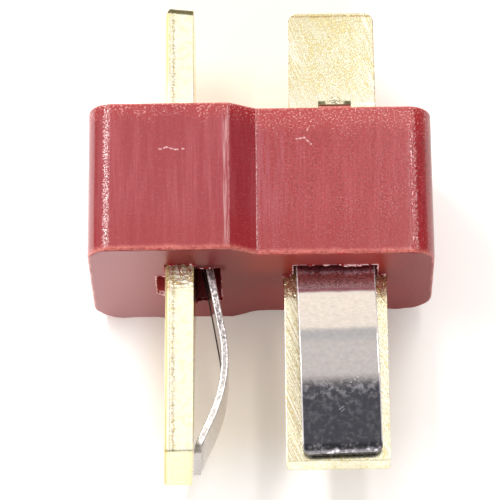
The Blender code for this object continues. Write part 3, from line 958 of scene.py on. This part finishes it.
def stake_groove(name):
    shape = bmesh.new()
    bmesh.ops.create_cone(
        shape,
        cap_ends=True,
        segments=GROOVE_SEGMENTS,
        radius1=STAKE_GROOVE_RADIUS,
        radius2=STAKE_GROOVE_RADIUS,
        depth=STAKE_WIDTH,
        matrix=Matrix.Rotation(pi / 2, 4, "Y"),
    )
    groove = mesh_object(name + "_groove", shape)
    groove.location = (STAKE_OFFSET, STAKE_GROOVE_Y, FACE + STAKE_GROOVE_RADIUS - STAKE_GROOVE_DEPTH)
    return groove


def leaf_path():
    """Centre line of a leaf from its tip to its root: (y, height over the blade, heading)."""
    seat_height = LEAF_SEAT_CLEARANCE + LEAF_GAUGE / 2
    climb = LEAF_BOW - LEAF_GAUGE / 2 - seat_height
    path = [(LEAF_TIP_Y, seat_height, 0.0)]

    def straight(length):
        y, height, heading = path[-1]
        for step in [*spaced(0.0, length, LEAF_SPACING), length]:
            path.append((y + step * cos(heading), height + step * sin(heading), heading))

    def bend(radius, new_heading):
        y, height, heading = path[-1]
        side = 1 if new_heading > heading else -1
        turns = spaced(heading, new_heading, 0.5 * LEAF_SPACING / radius)
        for angle in [*turns, new_heading]:
            across = side * radius * (sin(angle) - sin(heading))
            up = side * radius * (cos(heading) - cos(angle))
            path.append((y + across, height + up, angle))

    def leg(angle, end_radius):
        straight((climb - (LEAF_CREST_RADIUS + end_radius) * (1 - cos(angle))) / sin(angle))

    straight(LEAF_LIP_FLAT)
    bend(LEAF_LIP_RADIUS, LEAF_TIP_ANGLE)
    leg(LEAF_TIP_ANGLE, LEAF_LIP_RADIUS)
    bend(LEAF_CREST_RADIUS, -LEAF_ROOT_ANGLE)
    leg(LEAF_ROOT_ANGLE, LEAF_ROOT_BEND_RADIUS)
    bend(LEAF_ROOT_BEND_RADIUS, 0.0)
    straight(LEAF_ROOT_FLAT)
    return path


def leaf_mouth_height():
    """How high over the blade the leaf's centre line crosses the mating face."""
    path = leaf_path()
    for (y0, h0, _), (y1, h1, _) in zip(path, path[1:]):
        if y0 <= 0.0 <= y1:
            return h0 - (h1 - h0) * y0 / (y1 - y0)
    return path[-1][1]


def leaf_stations():
    """The path with each point's half width. Extra points near the tip round its corners."""
    path = leaf_path()
    stations = []
    travelled = 0.0
    turns = [pi / 2 * step / LEAF_CORNER_STEPS for step in range(LEAF_CORNER_STEPS + 1)]
    marks = [LEAF_CORNER_RADIUS * (1 - cos(turn)) for turn in turns]
    for here, there in zip(path, path[1:]):
        length = hypot(there[0] - here[0], there[1] - here[1])
        inside = [mark for mark in marks if travelled < mark < travelled + length]
        for at in [travelled, *inside]:
            share = (at - travelled) / length
            y, height, heading = (a + (b - a) * share for a, b in zip(here, there))
            left = max(LEAF_CORNER_RADIUS - at, 0.0)
            half = LEAF_WIDTH / 2 - LEAF_CORNER_RADIUS + (LEAF_CORNER_RADIUS**2 - left**2) ** 0.5
            stations.append((y, height, heading, half))
        travelled += length
    stations.append((*path[-1], LEAF_WIDTH / 2))
    return stations


def leaf_section(half_width):
    """The strip's section as (across, through) pairs, with rounded edges."""
    half = LEAF_GAUGE / 2
    points = []
    corners = ((1, -1, -pi / 2), (1, 1, 0.0), (-1, 1, pi / 2), (-1, -1, pi))
    for across, through, start in corners:
        centre_across = (half_width - LEAF_EDGE_RADIUS) * across
        centre_through = (half - LEAF_EDGE_RADIUS) * through
        for step in range(LEAF_EDGE_STEPS + 1):
            angle = start + pi / 2 * step / LEAF_EDGE_STEPS
            at_across = centre_across + LEAF_EDGE_RADIUS * cos(angle)
            at_through = centre_through + LEAF_EDGE_RADIUS * sin(angle)
            points.append((at_across, at_through))
        end_across, end_through = points[-1]
        if across == through:
            inner = (half_width - LEAF_FLAT_START) * across
            points.append((inner, end_through))
            points.append((-inner, end_through))
        else:
            inner = (half - LEAF_EDGE_RADIUS) * 0.8
            points.append((end_across, inner * through))
            points.append((end_across, -inner * through))
    return points


def leaf_spring(name, seat, skew, finish):
    rings = []
    for y, height, heading, half_width in leaf_stations():
        ring = []
        for across, through in leaf_section(half_width):
            ring.append((across, y - through * sin(heading), height + through * cos(heading)))
        rings.append(ring)
    leaf = skin(name + "_steel_leaf", rings, finish)
    leaf.matrix_world = seat @ Matrix.Translation((0, 0, FACE)) @ Matrix.Rotation(skew, 4, "Z")
    return leaf


def white_table():
    """A pale table that is lit by the lamps and glows a little where the camera or metal sees it.

    Near and under the connector it is warmer, painted warm light in its shade, and more glow in front of
    it and to either side is painted light that lifts its shadows.
    """
    shape = bmesh.new()
    bmesh.ops.create_grid(shape, x_segments=1, y_segments=1, size=TABLE_HALF_SIZE)
    made, paint = new_material("white_table")
    seen = paint.node("LightPath", out="Is Camera Ray")
    mirrored = paint.node("LightPath", out="Is Glossy Ray")
    x, y = paint.parts(paint.place())[:2]
    # Painted light: more glow in front and to either side lifts the shadows there, and more glow on the
    # left brightens what the metal mirrors
    in_front = paint.rise(y, -5.0, -10.0) * TABLE_FRONT_GLOW
    on_left = paint.rise(x, -4.5, -6.5) * TABLE_LEFT_SEEN_GLOW
    on_right = paint.rise(x, 5.5, 8.0) * TABLE_RIGHT_SEEN_GLOW
    to_camera = in_front + on_left + on_right + TABLE_SEEN_GLOW
    to_metal = in_front + paint.rise(x, -2.0, -7.5) * TABLE_LEFT_MIRRORED_GLOW + TABLE_MIRRORED_GLOW
    # Painted warm light in the shade near and under the connector
    under = paint.rise(y, -9.0, -5.0) * paint.rise(abs(x), 6.5, 4.0)
    table_colour = paint.blend(under, TABLE_COLOUR, WARM_SHADE_TABLE_COLOUR)
    lit = paint.node("BsdfDiffuse", sockets={"Color": table_colour})
    glow_colour = paint.blend(seen * to_camera + mirrored * to_metal, BLACK, WHITE)
    glow = paint.node("Emission", sockets={"Color": glow_colour, "Strength": 1.0})
    both = paint.node("AddShader", sockets={0: lit, 1: glow})
    paint.node("OutputMaterial", sockets={"Surface": both})
    table = mesh_object("table", shape, made)
    table.location.z = TABLE_Z


def studio_world():
    """Soft light from the left and the solder side, dim on the right and over the mating side.

    The camera itself sees white there. The dim patch and the grey band are what the leaves mirror.
    """
    world = bpy.data.worlds.new("studio")
    bpy.context.scene.world = world
    world.use_nodes = True
    paint = Paint(world.node_tree)
    way = paint.node("TexCoord", out="Generated")
    x, y, z = paint.parts(way)
    colour = paint.blend(paint.rise(x, 0.40, 0.60), OVERHEAD_LIGHT, RIGHT_LIGHT)
    colour = paint.blend(paint.rise(y, 0.06, -0.10), colour, MATING_SIDE_LIGHT)
    colour = paint.blend(paint.rise(x, -0.30, -0.50), colour, LEFT_LIGHT)
    colour = paint.blend(paint.rise(y, 0.47, 0.57), colour, GREY_BAND_LIGHT)
    colour = paint.blend(paint.rise(y, 0.62, 0.70), colour, SOLDER_SIDE_LIGHT)
    sockets = {0: way, 1: DIM_PATCH_WAY}
    facing = paint.node("VectorMath", {"operation": "DOT_PRODUCT"}, sockets, out="Value")
    patch = paint.rise(facing, cos(DIM_PATCH_RIM), cos(DIM_PATCH_CORE))
    colour = paint.blend(patch, colour, DIM_PATCH_LIGHT)
    colour = paint.blend(paint.rise(z, 0.28, 0.12), colour, HORIZON_LIGHT)
    seen = paint.node("LightPath", out="Is Camera Ray")
    colour = paint.blend(seen, colour, WHITE)
    light = paint.node("Background", sockets={"Color": colour, "Strength": 1.0})
    paint.node("OutputWorld", sockets={"Surface": light})


def softbox(name, way, size, radiance, colour):
    """A rectangular lamp that faces the connector from the given way, with its long side along Y."""
    width, length = size
    lamp = bpy.data.lights.new(name, "AREA")
    lamp.shape = "RECTANGLE"
    lamp.size = width
    lamp.size_y = length
    lamp.energy = radiance * pi * width * length
    lamp.color = colour
    holder = bpy.data.objects.new(name, lamp)
    bpy.context.scene.collection.objects.link(holder)
    back = Vector(way).normalized()
    across = Vector((0, 1, 0)).cross(back).normalized()
    axes = Matrix((across, back.cross(across), back)).transposed().to_4x4()
    holder.matrix_world = Matrix.Translation(back * LAMP_DISTANCE) @ axes


def studio_lamps():
    softbox("left_softbox", LEFT_LAMP_WAY, LEFT_LAMP_SIZE, LEFT_LAMP_RADIANCE, LEFT_LAMP_COLOUR)
    softbox("right_softbox", RIGHT_LAMP_WAY, RIGHT_LAMP_SIZE, RIGHT_LAMP_RADIANCE, RIGHT_LAMP_COLOUR)


def photo_camera():
    """The camera's place, turned about the vertical and rolled as the photograph has it."""
    away = Vector((0.0, -sin(CAMERA_TILT), cos(CAMERA_TILT)))
    up = Vector((0.0, cos(CAMERA_TILT), sin(CAMERA_TILT)))
    turn = Matrix.Rotation(CAMERA_TURN, 3, "Z")
    away, up = turn @ away, turn @ up
    right = up.cross(away)
    level_right = cos(CAMERA_ROLL) * right + sin(CAMERA_ROLL) * up
    level_up = cos(CAMERA_ROLL) * up - sin(CAMERA_ROLL) * right
    data = bpy.data.cameras.new("photo_camera")
    data.lens = CAMERA_LENS
    data.clip_start = 0.01
    data.clip_end = 10.0
    camera = bpy.data.objects.new("photo_camera", data)
    bpy.context.scene.collection.objects.link(camera)
    axes = Matrix((level_right, level_up, away)).transposed().to_4x4()
    camera.matrix_world = Matrix.Translation(CAMERA_TARGET + away * CAMERA_DISTANCE) @ axes
    bpy.context.scene.camera = camera


def dress(piece, node, body):
    """Lets a piece ride on its body, and stand for its node where it has one."""
    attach(piece, body)
    if node:
        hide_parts(node)


def connector():
    nylon = red_nylon()
    flashes = {
        "edge": ragged_flash("edge_mouth_flash", 0.03),
        "flat": ragged_flash("flat_mouth_flash", 0.12),
    }
    brasses = {
        "edge": bright_brass("edge_blade_brass", EDGE_TIP_BRASS),
        "flat": bright_brass("flat_blade_brass", FACE_BRASS),
    }
    steels = {
        "edge": leaf_steel("edge_spring_steel", EDGE_LEAF_LOW_STEEL, 0.2),
        "flat": leaf_steel("flat_spring_steel", FLAT_LEAF_LOW_STEEL, 0.7),
    }
    dress(moulded_body(nylon), "moulded_body", "plug_body")
    skews = {"edge": 0.0, "flat": FLAT_LEAF_SKEW}
    for name, seat in seats().items():
        dress(mouth_flash(name, seat, flashes[name]), None, "plug_body")
        spade = contact(name, seat, brasses[name])
        leaf = leaf_spring(name, seat, skews[name], steels[name])
        if name == "edge":
            lean_outwards(spade)
            lean_outwards(leaf)
        dress(spade, name + "_contact", "plug_body")
        dress(leaf, name + "_leaf_spring", name + "_leaf")
        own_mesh(leaf)


bpy.context.scene.view_settings.view_transform = "Standard"
photo_camera()
white_table()
studio_world()
studio_lamps()
connector()
